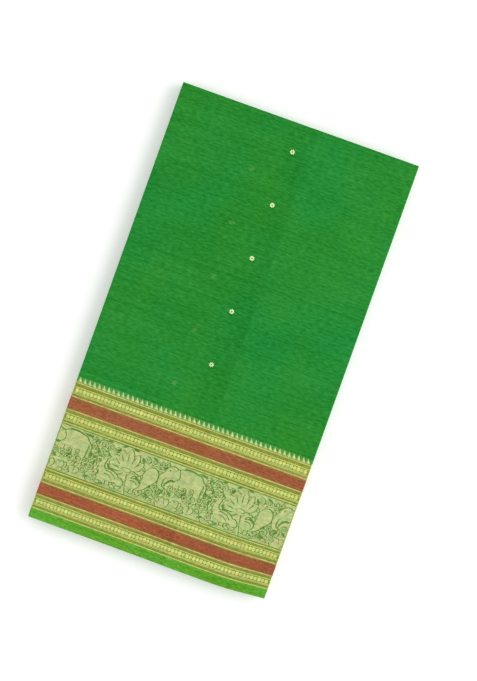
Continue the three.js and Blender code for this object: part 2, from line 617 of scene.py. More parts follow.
def cloth_place(tree):
    """The place on the flat cloth, whole and as its two numbers."""
    place = add_node(tree, "ShaderNodeUVMap", uv_map="Cloth").outputs[0]
    split = add_node(tree, "ShaderNodeSeparateXYZ", {0: place})
    return place, split.outputs["X"], split.outputs["Y"]


print("noise is spread from", NOISE_RANGE)

# %% [markdown]
# ## What shows through, and painted shade
#
# The cloth is thin. A row of flowers on the layer below shows through as pale ghosts. Two marks here are
# painted shade: a darker patch a little off each woven flower, and a darker strip on the top panel beside
# the tucked end, where the panel steps down off the hidden layer.
#
# Spots could be painted in Texture Paint. A row of them needs no painting, only a distance: how far a point
# lies from the nearest flower of the row.

# %% What shows through
FLOWER_PITCH = 68.8
FLOWER_COUNT = 5
FlowerRow = namedtuple("FlowerRow", "x first drift")
WOVEN_ROW = FlowerRow(-4.1, 249.3, 1.4)
# Painted shade: a darker patch a little off each woven flower.
FLOWER_SHADE_ROW = FlowerRow(-3.5, 247.5, 1.4)
GHOST_ROW = FlowerRow(-38.8, 213.6, 0.0)
SPOT_CORE = 0.3
SHADE = 0.06
SHADE_REACH = (48.0, 16.0)
SHADE_EDGE = 2.0


def near_flowers(tree, along, across, row, radius):
    """One near the flowers of a row up the panel, and nought elsewhere."""
    pitch = FLOWER_PITCH * MM
    start = row.first * MM - pitch / 2
    count = calculate(tree, "DIVIDE", calculate(tree, "SUBTRACT", across, start), pitch)
    part = calculate(tree, "SUBTRACT", calculate(tree, "FRACT", count), 0.5)
    column = (TOP_MIDDLE + row.x - row.drift / 2) * MM
    middle = calculate(tree, "MULTIPLY_ADD", count, row.drift * MM, column)
    sides = {
        "X": calculate(tree, "SUBTRACT", along, middle),
        "Y": calculate(tree, "MULTIPLY", part, pitch),
    }
    off = add_node(tree, "ShaderNodeCombineXYZ", sides).outputs[0]
    distance = add_node(tree, "ShaderNodeVectorMath", {0: off}, operation="LENGTH").outputs["Value"]
    near = remap(tree, distance, (radius * MM, SPOT_CORE * radius * MM), (0.0, 1.0), smooth=True)
    in_row = calculate(tree, "COMPARE", count, FLOWER_COUNT / 2, FLOWER_COUNT / 2)
    return calculate(tree, "MULTIPLY", near, in_row)


def tucked_shade(tree, along):
    """Painted shade: how much darker the top panel is painted beside the hidden end."""
    edge = (TOP_MIDDLE + TUCK_EDGE) * MM
    far, near = (edge - reach * MM for reach in SHADE_REACH)
    beside = remap(tree, along, (far, near), (0.0, SHADE), smooth=True)
    step = SHADE_EDGE * MM
    before = remap(tree, along, (edge - step, edge + step), (1.0, 0.0), smooth=True)
    return calculate(tree, "MULTIPLY", beside, before)


print(FLOWER_COUNT, "flowers in a row,", FLOWER_PITCH, "mm apart")

# %% [markdown]
# ## Colour of the ground
#
# Two ramps share one distance from the nearer selvedge: the bare ground for the two outer panels, where the
# gold is real thread, and the whole woven look for the layers between. The dye itself is uneven. It is
# yellower here and bluer there, in broad clouds and in short lengths of thread, and less so in the closely
# woven border. A Mix node set to Multiply lays that tint over either ramp.

# %% Colour of the ground
CLOUD = (10.0, 8.0)
CLOUD_SHARE = 0.45
SHORT_LENGTHS = (60.0, 260.0)
LENGTHS_SHARE = 0.12
TINT_RANGE = (0.145, 0.425)
WARM_TINT = (1.30, 1.0, 0.78, 1.0)
COOL_TINT = (0.74, 1.0, 1.28, 1.0)
BORDER_TINT = 0.4


def band_colours(tree, along, from_edge):
    share = calculate(tree, "DIVIDE", from_edge, RAMP_SPAN * MM)
    ramps = []
    for column in ("ground", "woven"):
        node = add_node(tree, "ShaderNodeValToRGB", {"Fac": share})
        fill_ramp(node.color_ramp, column)
        ramps.append(node.outputs["Color"])
    past_bottom = calculate(tree, "GREATER_THAN", along, BOTTOM_END * MM)
    before_top = calculate(tree, "LESS_THAN", along, TOP_START * MM)
    past_top = calculate(tree, "GREATER_THAN", along, TOP_END * MM)
    hidden = calculate(tree, "MAXIMUM", calculate(tree, "MULTIPLY", past_bottom, before_top), past_top)
    return mix(tree, hidden, *ramps)


def tinted(tree, colour, place, in_border):
    cloud = calculate(tree, "MULTIPLY", streaks(tree, place, CLOUD), CLOUD_SHARE)
    lengths = calculate(tree, "MULTIPLY", streaks(tree, place, SHORT_LENGTHS), LENGTHS_SHARE)
    warmth = remap(tree, total(tree, cloud, lengths), TINT_RANGE, (0.0, 1.0))
    tint = mix(tree, warmth, COOL_TINT, WARM_TINT)
    strength = remap(tree, in_border, (0.0, 1.0), (1.0, BORDER_TINT))
    return mix(tree, strength, colour, tint, blend="MULTIPLY")


print("the border takes", BORDER_TINT, "of the tint of the body")

# %% [markdown]
# ## Light and dark threads, and painted shade
#
# Handloom yarn is uneven, so some threads are thicker and lighter than their neighbours. Short flecks, long
# streaks and slow patches of noise give that, each stretched along the cloth. Darker lines run at known
# places: most are thick slub threads, but the two at 359 and 476 mm from the selvedge lie in crossways
# creases and are painted shade there. The border has a grain of its own. Painted shade beside the tucked end
# and round each woven flower is taken off the value here too. One image texture could hold all of this, but
# noise never repeats and never blurs.

# %% Light and dark threads
FLECK = (150.0, 560.0)
FLECK_DEPTH = 0.16
STREAK = (3.0, 330.0)
STREAK_DEPTH = 0.08
PATCH = (14.0, 22.0)
PATCH_DEPTH = 0.05
BORDER_GRAIN = (420.0, 520.0)
GRAIN_DEPTH = 0.12
# Size and depth of the painted shade round each woven flower.
FLOWER_SHADE_RADIUS = 5.2
FLOWER_SHADE_DEPTH = 0.22
# Darker lines, in mm from the selvedge. Those at 359 and 476 lie in crossways creases and are painted shade;
# the others are thick slub threads.
DarkLine = namedtuple("DarkLine", "across reach depth")
SLUBS_AND_CREASE_SHADE = [
    DarkLine(359, 2.2, 0.07),
    DarkLine(303, 1.2, 0.05),
    DarkLine(431, 1.4, 0.05),
    DarkLine(476, 1.0, 0.04),
    DarkLine(231, 1.1, 0.04),
]


def slub_and_crease_shade(tree, across):
    """How much darker the dark lines are: slub threads, and painted shade in two creases."""
    shades = []
    for dark_line in SLUBS_AND_CREASE_SHADE:
        off = calculate(tree, "ABSOLUTE", calculate(tree, "SUBTRACT", across, dark_line.across * MM))
        shades.append(remap(tree, off, (dark_line.reach * MM, 0.0), (0.0, dark_line.depth), smooth=True))
    return total(tree, *shades)


def lightness(tree, place, along, across, fleck, in_border):
    """One where a thread is as light as the dye, more or less elsewhere, and less again where shade is
    painted.
    """
    streak = swing(tree, streaks(tree, place, STREAK), STREAK_DEPTH)
    patch = swing(tree, streaks(tree, place, PATCH), PATCH_DEPTH)
    light = total(tree, swing(tree, fleck, FLECK_DEPTH), 1.0, streak, patch)
    # Darker lines: slub threads, and painted shade in two creases.
    light = calculate(tree, "SUBTRACT", light, slub_and_crease_shade(tree, across))
    # Painted shade on the strip beside the tucked end.
    light = calculate(tree, "SUBTRACT", light, tucked_shade(tree, along))
    grain = swing(tree, streaks(tree, place, BORDER_GRAIN), GRAIN_DEPTH)
    light = calculate(tree, "MULTIPLY_ADD", grain, in_border, light)
    # Painted shade round each woven flower.
    flower_shade = near_flowers(tree, along, across, FLOWER_SHADE_ROW, FLOWER_SHADE_RADIUS)
    return calculate(tree, "MULTIPLY_ADD", flower_shade, -FLOWER_SHADE_DEPTH, light)


print(len(SLUBS_AND_CREASE_SHADE), "slubs, flecks of", FLECK, "to a metre")

# %% [markdown]
# ## The cotton material
#
# Now the parts are joined. Lighter threads are also a little paler, so saturation falls as the value rises.
# The ghosts come last, because they lie under the dye. The weave is a bump of crossing threads, too fine to
# see from a step away but there in a close look. Cotton is matt, so it is rough and has almost no gloss.

# %% Cotton
THREADS_PER_METRE = 2400.0
BORDER_END = 178.0
THREAD_PALENESS = 0.15
GHOST_RADIUS = 4.6
GHOST_COLOUR = "#bccb8a"
GHOST_FLECKS = (0.35, 0.65)
GHOST_STRENGTH = (0.039, 0.195)
FLECK_RELIEF = 2.0
WEAVE_BUMP = 0.35
BUMP_DEPTH = 0.0001
COTTON_ROUGHNESS = (0.92, 0.84)
COTTON_GLOSS = 0.06


def weave_height(tree, along, across):
    turn = pi * THREADS_PER_METRE
    warp = calculate(tree, "SINE", calculate(tree, "MULTIPLY", along, turn))
    weft = calculate(tree, "SINE", calculate(tree, "MULTIPLY", across, turn))
    return calculate(tree, "MULTIPLY", warp, weft)


def dyed_cotton(tree, place, along, across, fleck):
    far_selvedge = calculate(tree, "SUBTRACT", CLOTH_WIDTH * MM, across)
    from_edge = calculate(tree, "MINIMUM", across, far_selvedge)
    in_border = calculate(tree, "LESS_THAN", from_edge, BORDER_END * MM)
    colour = tinted(tree, band_colours(tree, along, from_edge), place, in_border)
    light = lightness(tree, place, along, across, fleck, in_border)
    saturation = calculate(tree, "MULTIPLY_ADD", light, -THREAD_PALENESS, 1 + THREAD_PALENESS)
    inputs = {"Color": colour, "Saturation": saturation, "Value": light}
    dyed = add_node(tree, "ShaderNodeHueSaturation", inputs).outputs["Color"]
    ghost = near_flowers(tree, along, across, GHOST_ROW, GHOST_RADIUS)
    strength = remap(tree, fleck, GHOST_FLECKS, GHOST_STRENGTH)
    return mix(tree, calculate(tree, "MULTIPLY", ghost, strength), dyed, linear(GHOST_COLOUR))


def cotton_material():
    made, tree, surface = new_material("green_cotton")
    place, along, across = cloth_place(tree)
    fleck = streaks(tree, place, FLECK)
    height = calculate(tree, "MULTIPLY_ADD", fleck, FLECK_RELIEF, weave_height(tree, along, across))
    inputs = {"Height": height, "Strength": WEAVE_BUMP, "Distance": BUMP_DEPTH}
    bump = add_node(tree, "ShaderNodeBump", inputs)
    tree.links.new(dyed_cotton(tree, place, along, across, fleck), surface.inputs["Base Color"])
    tree.links.new(bump.outputs["Normal"], surface.inputs["Normal"])
    tree.links.new(remap(tree, fleck, NOISE_RANGE, COTTON_ROUGHNESS), surface.inputs["Roughness"])
    surface.inputs["Specular IOR Level"].default_value = COTTON_GLOSS
    return made


cloth.data.materials.append(cotton_material())
print("cotton has", len(cloth.data.materials[0].node_tree.nodes), "nodes")

# %% [markdown]
# ## Shapes for the chart
#
# A weaver plans a border on squared paper. Here the chart is drawn with three simple shapes: an oval, a leaf
# and a vine that thins along its way. Each is a plain outline in millimetres, from the lower left corner of
# one repeat. Curves drawn by hand would do as well, but short functions are easier to change, and their
# points go straight into the mesh later.

# %% Shapes for the chart
LEAF_SHOULDER = 1.3
LEAF_FULLNESS = 0.8
VINE_CAP = 1 / 3


def turned(outline, degrees):
    c, s = np.cos(radians(degrees)), np.sin(radians(degrees))
    return outline @ np.array([[c, s], [-s, c]])


def oval(x, y, width, height, tilt=0.0, points=28, roundness=1.0):
    """An oval, which gets squarer as its roundness falls."""
    angle = np.linspace(0, 2 * pi, points, endpoint=False)
    circle = np.stack([np.cos(angle), np.sin(angle)], -1)
    flat = np.sign(circle) * np.abs(circle) ** roundness * (width / 2, height / 2)
    return turned(flat, tilt) + (x, y)


def leaf(x, y, length, width, heading, points=11):
    """A leaf that grows from x, y the way that heading says, widest past its middle."""
    share = (1 - np.cos(np.linspace(0, pi, points))) / 2
    half = width / 2 * np.sin(pi * share**LEAF_SHOULDER) ** LEAF_FULLNESS
    side = np.stack([share * length, half], -1)
    outline = np.concatenate([side, side[-2:0:-1] * (1, -1)])
    return turned(outline, heading) + (x, y)


def vine(stops, start, end, spans=5):
    """A ribbon along a smooth line through stops, whose width goes from start to end."""
    stops = np.array(stops, dtype=float)
    share = np.linspace(0, 1, spans * (len(stops) - 1) + 1)
    line = np.stack([spline(stops[:, axis], share) for axis in (0, 1)], -1)
    ahead = np.gradient(line, axis=0)
    ahead /= np.linalg.norm(ahead, axis=1, keepdims=True)
    left = ahead[:, ::-1] * (-1, 1) * (start + (end - start) * share[:, None]) / 2
    cap = np.array([line[-1] + ahead[-1] * end * VINE_CAP])
    tail = np.array([line[0] - ahead[0] * start * VINE_CAP])
    return np.concatenate([line + left, cap, (line - left)[::-1], tail])


print("an oval has", len(oval(0, 0, 1, 1)), "points and a leaf", len(leaf(0, 0, 1, 1, 0)))

# %% [markdown]
# ## The elephant
#
# The figures are this lesson's own, in the spirit of old border patterns. The largest is an elephant. Each
# figure is a list of shapes in gold and a list of marks, where the ground shows again, such as an eye or the
# dark line under a trunk. It also says how wide a line of bare ground runs round it, for that line is what
# keeps gold figures apart on a gold field.

# %% Elephant
FINE_OUTLINE = 0.62
BOLD_OUTLINE = 0.85
Figure = namedtuple("Figure", "gold marks outline", defaults=[(), FINE_OUTLINE])


def elephant():
    """An elephant that walks to the left, with its ear laid over its shoulder."""
    body = [oval(31, 42, 39, 23), oval(42, 39.5, 18, 25)]
    head = [oval(11.5, 43, 17, 18, 15)]
    trunk = [vine([(7, 43), (1, 37), (-0.5, 29), (1.5, 23.5), (5.5, 22.5)], 7, 2.8)]
    legs = [
        vine([(20, 36), (19.5, 27), (20, 19)], 8, 6.5),
        vine([(27, 34), (26.5, 27), (26.5, 20)], 6, 5),
        vine([(38, 34), (37.5, 27), (38, 19)], 7, 6),
        vine([(46, 36), (46.5, 27), (45.5, 19)], 8, 6.5),
    ]
    tail = [vine([(50, 45), (54, 40), (53.5, 32)], 2.2, 1.6), leaf(53.6, 33, 7, 3.6, 262)]
    eye = [oval(7.5, 46.5, 2.0, 2.0)]
    under_belly = [leaf(31.8, 31.5, 12.5, 6.5, 268)]
    under_trunk = [vine([(16.5, 36), (11, 34.5), (7, 30), (6, 26.5)], 3.0, 1.4)]
    between_legs = [
        vine([(23.6, 33), (23.2, 26), (23.4, 19)], 1.0, 1.0),
        vine([(42.2, 33), (42.0, 26), (42.0, 19)], 1.0, 1.0),
    ]
    along_back = [vine([(24, 54.6), (34, 54.8), (42, 52.8)], 1.2, 1.4)]
    gold = body + head + trunk + legs + tail
    marks = eye + under_belly + under_trunk + between_legs + along_back
    ear = Figure([leaf(17.5, 51, 15, 9.5, 262)])
    return [Figure(gold, marks, BOLD_OUTLINE), ear]


print("the elephant has", len(elephant()[0].gold), "shapes and", len(elephant()[0].marks), "marks")

# %% [markdown]
# ## Two birds
#
# A bird stands on each side of a large flower. They are built like the elephant: ovals for what is round,
# vines for what bends, leaves for what ends in a point. The left one carries its tail folded. The right one
# turns its head back to its own lifted plume, which is a figure by itself, so that a line of bare ground
# sets it off.

# %% Birds
def left_bird():
    body = [oval(85, 15.5, 25, 14, -6)]
    neck = [vine([(77.5, 17), (73.5, 24), (75, 31)], 8.5, 4.4)]
    head = [oval(74.5, 33, 7, 6), leaf(72, 33.5, 6.5, 2.6, 188)]
    tail = [leaf(91, 15, 15, 9, -20)]
    crest = [leaf(75.5, 35, 5.5, 1.8, 75), leaf(76.5, 34.5, 5.5, 1.8, 45)]
    legs = [vine([(82, 10), (82.5, 4)], 1.8, 1.4), vine([(87, 10), (88, 4)], 1.8, 1.4)]
    eye = [oval(73.6, 33.8, 1.5, 1.5)]
    wing = [
        vine([(80.5, 20.5), (88, 19.5), (94.5, 14)], 1.3, 0.9),
        vine([(79.5, 16.5), (86, 15.5), (91, 11)], 1.1, 0.8),
    ]
    over_back = [vine([(80.5, 28.5), (83, 24.8), (89, 24.6)], 3.0, 1.2)]
    return [Figure(body + neck + head + tail + crest + legs, eye + wing + over_back, BOLD_OUTLINE)]


def right_bird():
    plume = [oval(134, 31.5, 17, 22, -14), vine([(130.5, 23), (126.5, 16.5), (121, 13)], 11, 7)]
    body = [oval(115.5, 15.5, 17, 12.5, 14)]
    neck = [vine([(111, 17), (109.4, 21.5), (111.5, 25.5)], 5.4, 3.6)]
    head = [oval(112, 26.8, 5.8, 5.2), leaf(114, 27.4, 5.5, 2.1, -8)]
    legs = [vine([(114, 10.5), (113, 4.5)], 1.8, 1.4), vine([(118, 10.5), (118.5, 4.5)], 1.8, 1.4)]
    eye = [oval(112.4, 27.4, 1.4, 1.4)]
    wing = [vine([(112.5, 18.8), (117.5, 19), (121.5, 15.6)], 1.3, 0.9)]
    over_back = [vine([(117.6, 24.6), (121.4, 22.2), (125.6, 19.4)], 3.2, 1.2)]
    bird = Figure(body + neck + head + legs, eye + wing + over_back, BOLD_OUTLINE)
    return [Figure(plume, (), BOLD_OUTLINE), bird]


print(len(left_bird() + right_bird()), "figures make two birds")

# %% [markdown]
# ## Flowers of the chart
#
# The large flower spreads nine petals like a fan, round a plain heart and a small cup. Below the elephant
# half a lotus opens between two heart-shaped leaves. Petals could be one outline with a wavy edge. Here each
# is a leaf of its own, painted from the outside in, so that it lies over the one before it.

# %% Flowers of the chart
FAN_AT = (103.0, 27.0)
FAN_REACH = 28.0
FAN_FALL = 0.07
FAN_PETAL_WIDTH = 10.5
FAN_TURNS = (-98, 98, -74, 74, -50, 50, -25, 25, 0)
VEIN_LENGTH = 0.86
VEIN_WIDTH = 1.3
VEIN_TURN = 4
LOTUS_TURNS = (-84, 84, -56, 56, -28, 28, 0)
LOTUS_PETAL_WIDTH = 0.5
LOTUS_HEART = (0.5, 0.34)
LOBE_SIZE = (6.6, 9.6)
LOBE_APART = 2.1
LOBE_TILT = 24
HEART_VEIN = (4.0, -2.5)
HEART_VEIN_WIDTH = (0.9, 0.7)
UP = 90


def fan_flower():
    x, y = FAN_AT
    stalk = Figure([vine([(x, y), (104.5, 15), (108.5, 0)], 4.2, 2.8)])
    sepals = [Figure([leaf(x, y + 1, 15, 5, heading)]) for heading in (212, -32)]
    petals = []
    for turn in FAN_TURNS:
        reach = FAN_REACH - FAN_FALL * abs(turn)
        vein = leaf(x, y, VEIN_LENGTH * reach, VEIN_WIDTH, UP + turn + VEIN_TURN)
        petals.append(Figure([leaf(x, y, reach, FAN_PETAL_WIDTH, UP + turn)], [vein]))
    plain_heart = Figure([oval(x, y + 5, 19, 15)], (), 0.0)
    cup = Figure([leaf(x - 6, y + 2, 12, 4.6, 0)])
    return [stalk] + sepals + petals + [plain_heart, cup]


def lotus(x, y, reach):
    petals = [Figure([leaf(x, y, reach, LOTUS_PETAL_WIDTH * reach, UP + turn)]) for turn in LOTUS_TURNS]
    return petals + [Figure([oval(x, y, *(part * reach for part in LOTUS_HEART))])]


def heart_leaf(x, y, tilt):
    """Two lobes with a vein between them."""
    lobes = [oval(x + side * LOBE_APART, y, *LOBE_SIZE, tilt - side * LOBE_TILT) for side in (-1, 1)]
    ahead = np.array([-np.sin(radians(tilt)), np.cos(radians(tilt))])
    vein = vine([(x, y) + end * ahead for end in HEART_VEIN], *HEART_VEIN_WIDTH)
    return [Figure(lobes, [vein])]


def small_plants():
    return lotus(27, 3.0, 11) + heart_leaf(12.5, 7.5, 12) + heart_leaf(43, 7.5, -12)


print(len(fan_flower()), "figures in the fan flower,", len(small_plants()), "in the small plants")

# %% [markdown]
# ## Stems, leaves and berries
#
# A creeper runs along the foot of the border, and two stems climb between the animals. Geometry Nodes could
# scatter the leaves and berries, but a weaver sets each where there is room for it. So each has its place in
# a list, and one function draws all leaves. Their rows hold x, y, length and heading.

# %% Stems, leaves and berries
STEM_WIDTH = (1.9, 1.5)
LEAF_WIDTH = 0.46
SLIVER_SIZE = (0.85, 0.17)
SLIVER_TURN = 30
BERRY = 2.3
BERRY_POINTS = 12
CREEPER = [(62, 5), (72, 1.5), (84, 3), (96, 1.5), (108, 3), (120, 1.5), (132, 4), (144, 2)]
CREEPER_LEAVES = [
    (66, 3, 8, 55), (72, 2, 8, 20), (78, 2.5, 7, 160), (92, 2, 8, 50), (97, 2, 7, 150), (102, 2.5, 7, 35),
    (122, 2, 7, 40), (127, 3, 9, 120), (131, 4, 9, 60), (137, 3.5, 8, 25), (136, 3, 8, 100),
]
MIDDLE_STEM = [(61, -2), (56, 8), (61.5, 18), (57, 28), (63, 38), (60, 48), (65, 57)]
MIDDLE_LEAVES = [
    (57, 8, 8, 150), (59, 13, 9, 20), (61, 19, 9, 155), (58, 25, 9, 30), (57.5, 29, 8, 140),
    (61, 35, 9, 10), (62, 40, 8, 150), (60, 46, 9, 25), (61, 50, 7, 140), (64, 54, 8, -20),
]
END_STEM = [(150, -2), (145, 8), (149.5, 18), (145.5, 28), (149.5, 38), (146, 48), (150, 57)]
END_LEAVES = [
    (146, 6, 8, 150), (147, 12, 9, 25), (149, 18, 7, 165), (147, 24, 8, 40), (148, 34, 7, 150),
    (149, 38, 8, 60), (147, 45, 8, 160), (146.5, 49, 7, 30),
]
LOOSE_LEAVES = [
    (66, 14, 9, 75), (70, 10, 8, 100), (66, 25, 9, 60), (69, 22, 9, 95), (67, 44, 8, 20), (71, 41, 8, -10),
    (76, 44, 8, 170), (79, 38, 7, 200), (92, 26, 8, 160), (97, 22, 8, 110), (99, 9, 8, 120), (127, 8, 8, 40),
    (134, 12, 9, 20), (138, 15, 8, 70), (126, 44, 8, 20), (131, 45, 8, 60), (3, 12, 9, 40), (8, 16, 8, 100),
    (13, 15, 8, 60), (6, 20, 8, 150), (12, 22, 7, 30), (37, 14, 8, 30), (42, 12, 8, 60), (50, 14, 9, 60),
    (53, 20, 8, 110), (33, 16, 6, 90),
]
BERRIES = [
    (66, 35), (69, 33.5), (68.5, 36.8), (71.8, 36.5), (65.5, 31.5), (53, 50), (56, 53), (51.5, 53.5),
    (141, 44), (144, 41), (140.5, 40), (3.5, 53), (1, 49.5), (91, 7), (94, 9.5), (124, 27.5), (121.5, 30.5),
    (141, 20), (143.5, 23), (12.5, 27.5), (15, 25.5), (52, 25.5), (51, 28.5), (34, 4), (20, 3.5),
]


def leaves(rows):
    """Leaves, each with a sliver of bare ground along one side."""
    made = []
    for x, y, length, heading in rows:
        sliver = leaf(x, y, *(part * length for part in SLIVER_SIZE), heading + SLIVER_TURN)
        made.append(Figure([leaf(x, y, length, LEAF_WIDTH * length, heading)], [sliver]))
    return made


def stem(stops, rows):
    return [Figure([vine(stops, *STEM_WIDTH)])] + leaves(rows)


def garden():
    stems = stem(CREEPER, CREEPER_LEAVES) + stem(MIDDLE_STEM, MIDDLE_LEAVES) + stem(END_STEM, END_LEAVES)
    berries = [Figure([oval(x, y, BERRY, BERRY, points=BERRY_POINTS)]) for x, y in BERRIES]
    return stems + leaves(LOOSE_LEAVES) + berries


print(len(garden()), "stems, leaves and berries")

# %% [markdown]
# ## Curls and gaps
#
# Tendrils curl in every space that is left, most of them behind the animals and a few before the elephant's
# feet. A curl is a vine through nine points of a spiral. Each row holds its middle, its reach, the angle at
# which it starts and the way it turns. Between all of these the weaver leaves small gaps of bare ground, and
# those are leaves with no gold at all.

# %% Curls and gaps
CURL_POINTS = 9
CURL_SPANS = 2
CURL_TURN = 2.3 * pi
CURL_IN = 0.8
CURL_WIDTH = (0.3, 0.22)
CURLS_BEHIND = [
    (124, 49.5, 5.0, 200, 1), (134, 50.0, 4.6, -20, -1), (142.5, 50.5, 4.2, 180, 1),
    (67.5, 49.5, 5.0, 0, 1), (77.0, 48.5, 4.6, 200, -1), (86.0, 49.0, 4.0, 180, 1),
    (84.5, 29.0, 4.6, 240, -1), (93.0, 27.5, 4.0, 30, 1), (121.5, 35.0, 4.6, 200, -1),
    (69.0, 8.5, 4.6, 80, 1), (98.5, 9.5, 4.4, 100, -1), (127.5, 9.5, 4.8, 60, 1),
    (138.0, 12.5, 4.8, 150, -1), (53.0, 11.0, 4.6, 60, 1), (2.5, 8.0, 4.4, 90, 1),
    (12.0, 22.0, 4.6, 120, -1), (56.0, 44.0, 4.4, -60, 1), (64.5, 28.5, 4.4, 90, -1),
    (141.5, 29.5, 3.8, 60, 1), (68.5, 39.5, 4.4, 30, 1), (57.0, 31.0, 4.2, 210, 1),
    (143.5, 20.5, 4.2, 30, -1), (60.0, 19.0, 4.4, 250, 1), (112.5, 43.5, 3.6, 20, -1),
]
CURLS_BEFORE = [
    (15.0, 25.5, 4.6, 30, -1), (24.0, 22.5, 5.0, 90, 1), (34.5, 21.0, 4.8, 60, -1),
    (43.5, 22.5, 4.8, 110, 1), (51.5, 23.5, 4.4, 20, -1), (29.5, 29.0, 3.8, 200, 1),
    (40.0, 30.0, 3.6, 260, -1),
]
GAPS = [
    (41, 54.8, 13, 3.2, -6), (70, 55, 9, 2.6, 4), (86, 44, 9, 3.4, 62), (90, 53.5, 9, 3, 30),
    (113, 55, 10, 3, 168), (122, 43, 8, 3.4, 118), (118, 29, 12, 3.4, -52), (93, 11, 8, 3, 78),
    (80, 33, 8, 3.2, -35), (64, 44, 8, 2.8, -80), (143.5, 25, 9, 2.8, 75), (16, 33, 8, 3, -70),
    (55, 4, 8, 3, 20), (140, 7, 8, 3, 160), (101, 7, 8, 3, 100), (72, 13, 8, 3, 80), (129, 55, 9, 2.8, -20),
    (3, 14, 8, 2.8, 60), (34, 15, 7, 3.2, 85), (53, 17, 8, 3, 70), (64, 21, 7, 2.8, 100),
    (147, 44, 7, 2.6, 60), (132, 17, 7, 2.8, 30), (18, 16, 7, 2.8, 140), (40, 15, 7, 2.8, 40),
    (60, 54, 7, 2.8, 250), (56.5, 37, 7, 2.8, 285), (66, 33, 6, 2.6, 200), (132, 5, 7, 2.6, 20),
    (76, 3, 8, 2.6, 10), (21, 2, 6, 2.6, 160), (34, 2, 6, 2.6, 20), (147, 13, 6, 2.6, 110),
    (120, 22, 6, 2.6, 30),
]


def curls(rows):
    made = []
    for x, y, reach, start, hand in rows:
        share = np.linspace(0, 1, CURL_POINTS)
        angle = radians(start) + hand * CURL_TURN * share
        radius = reach * (1 - CURL_IN * share)
        stops = np.stack([x + radius * np.cos(angle), y + radius * np.sin(angle)], -1)
        made.append(Figure([vine(stops, *(part * reach for part in CURL_WIDTH), CURL_SPANS)]))
    return made


def chart():
    """All figures of one repeat, from the back to the front."""
    gaps = [Figure([], [leaf(*gap) for gap in GAPS])]
    ground = garden() + curls(CURLS_BEHIND) + gaps + small_plants()
    animals = elephant() + fan_flower() + right_bird() + left_bird()
    return ground + animals + curls(CURLS_BEFORE)


figures = chart()
print(len(figures), "figures in the chart")

# %% [markdown]
# ## Paint the chart
#
# The chart is painted like a stencil. Each figure first clears a thin line of ground round itself, and then
# lays its gold and opens its marks. The cleared line is pushed a little to one side, so that it swells and
# thins round a figure as drawn lines do. The chart repeats along the border, so it is painted with its
# neighbours on both sides, and nothing is cut off where two repeats meet.

# %% Paint the chart
REPEAT = 147.0
OUTLINE_SHIFT = np.array([0.62, 0.34])
TINY = 1e-9


def grown(outline, margin):
    """The outline, moved outwards by a margin."""
    ahead = np.roll(outline, -1, axis=0) - np.roll(outline, 1, axis=0)
    ahead /= np.maximum(np.linalg.norm(ahead, axis=1, keepdims=True), TINY)
    x, y = outline.T
    turning = np.sign(np.sum(x * np.roll(y, -1) - np.roll(x, -1) * y))
    return outline + turning * margin * ahead[:, ::-1] * (1, -1)


def painted(figures):
    """Outlines in the order they are painted, each with whether it lays gold."""
    coats = []
    for figure in figures:
        shift = OUTLINE_SHIFT * figure.outline
        coats += [(grown(shape, figure.outline) + shift, False) for shape in figure.gold]
        coats += [(shape, True) for shape in figure.gold]
        coats += [(shape, False) for shape in figure.marks]
    return coats


def wrapped(shapes):
    return [shape + (shift, 0) for shift in (-REPEAT, 0, REPEAT) for shape in shapes]


wide = [Figure(wrapped(figure.gold), wrapped(figure.marks), figure.outline) for figure in figures]
coats = painted(wide)
print(len(coats), "coats over a repeat of", REPEAT, "mm")

# %% [markdown]
# ## From paint to triangles
#
# To turn the painting into a mesh, all outlines go into one triangulation, and every triangle keeps the last
# paint that covers its middle. Boolean modifiers could cut the figures out of a sheet, but one triangulation
# is quicker. Grid lines go into it too, because they let the flat gold bend with the cloth later.

# %% Cut the brocade
BROCADE_HEIGHT = 56.7
GRID_X = 3.0
GRID_Y = 7.0
MERGE_DISTANCE = 1e-5


def inside(outline, points):
    """Which points the outline winds round."""
    found = np.all((points >= outline.min(0)) & (points <= outline.max(0)), axis=1)
    x, y = points[found].T
    winding = np.zeros(len(x), dtype=int)
    for (x0, y0), (x1, y1) in zip(outline, np.roll(outline, -1, axis=0)):
        left_of = (x1 - x0) * (y - y0) - (x - x0) * (y1 - y0)
        winding += (y0 <= y) & (y < y1) & (left_of > 0)
        winding -= (y1 <= y) & (y < y0) & (left_of < 0)
    found[np.flatnonzero(found)[winding == 0]] = False
    return found


def grid_lines(width, height):
    across = [np.array([(x, 0), (x, height)]) for x in np.arange(0, width + GRID_X / 2, GRID_X)]
    bands = max(1, round(height / GRID_Y))
    along = [np.array([(0, y), (width, y)]) for y in np.linspace(0, height, bands + 1)]
    return across + along


def triangulate(coats, width, height, base):
    """Points and gold triangles of a painted patch. base says whether its bare field is gold."""
    loops = [outline for outline, _ in coats] + grid_lines(width, height)
    starts = np.cumsum([0] + [len(loop) for loop in loops])
    edges = []
    for loop, first in zip(loops, starts):
        closing = len(loop) if len(loop) > 2 else 1
        edges += [(first + step, first + (step + 1) % len(loop)) for step in range(closing)]
    points, _, triangles, *_ = delaunay_2d_cdt(np.concatenate(loops).tolist(), edges, [], 0, MERGE_DISTANCE)
    points = np.array([tuple(point) for point in points])
    triangles = np.array(triangles)
    middle = points[triangles].mean(1)
    gold = np.full(len(triangles), base)
    for outline, lays_gold in coats:
        gold[inside(outline, middle)] = lays_gold
    gold &= np.all((middle > 0) & (middle < (width, height)), axis=1)
    return points, triangles[gold]


brocade_points, brocade_triangles = triangulate(coats, REPEAT, BROCADE_HEIGHT, True)
print(f"brocade repeat: {len(brocade_triangles)} gold triangles")

# %% [markdown]
# ## Guard stripes
#
# On both sides of each red band lies a guard stripe of gold: fine lines along a row of slanted beads, which
# looks like a twisted cord. An Array modifier could repeat one bead. A loop does the same here, and it can
# make large and small beads by turns and keep the row on the panel. Every piece of gold holds its points,
# its triangles and the number of its thread.

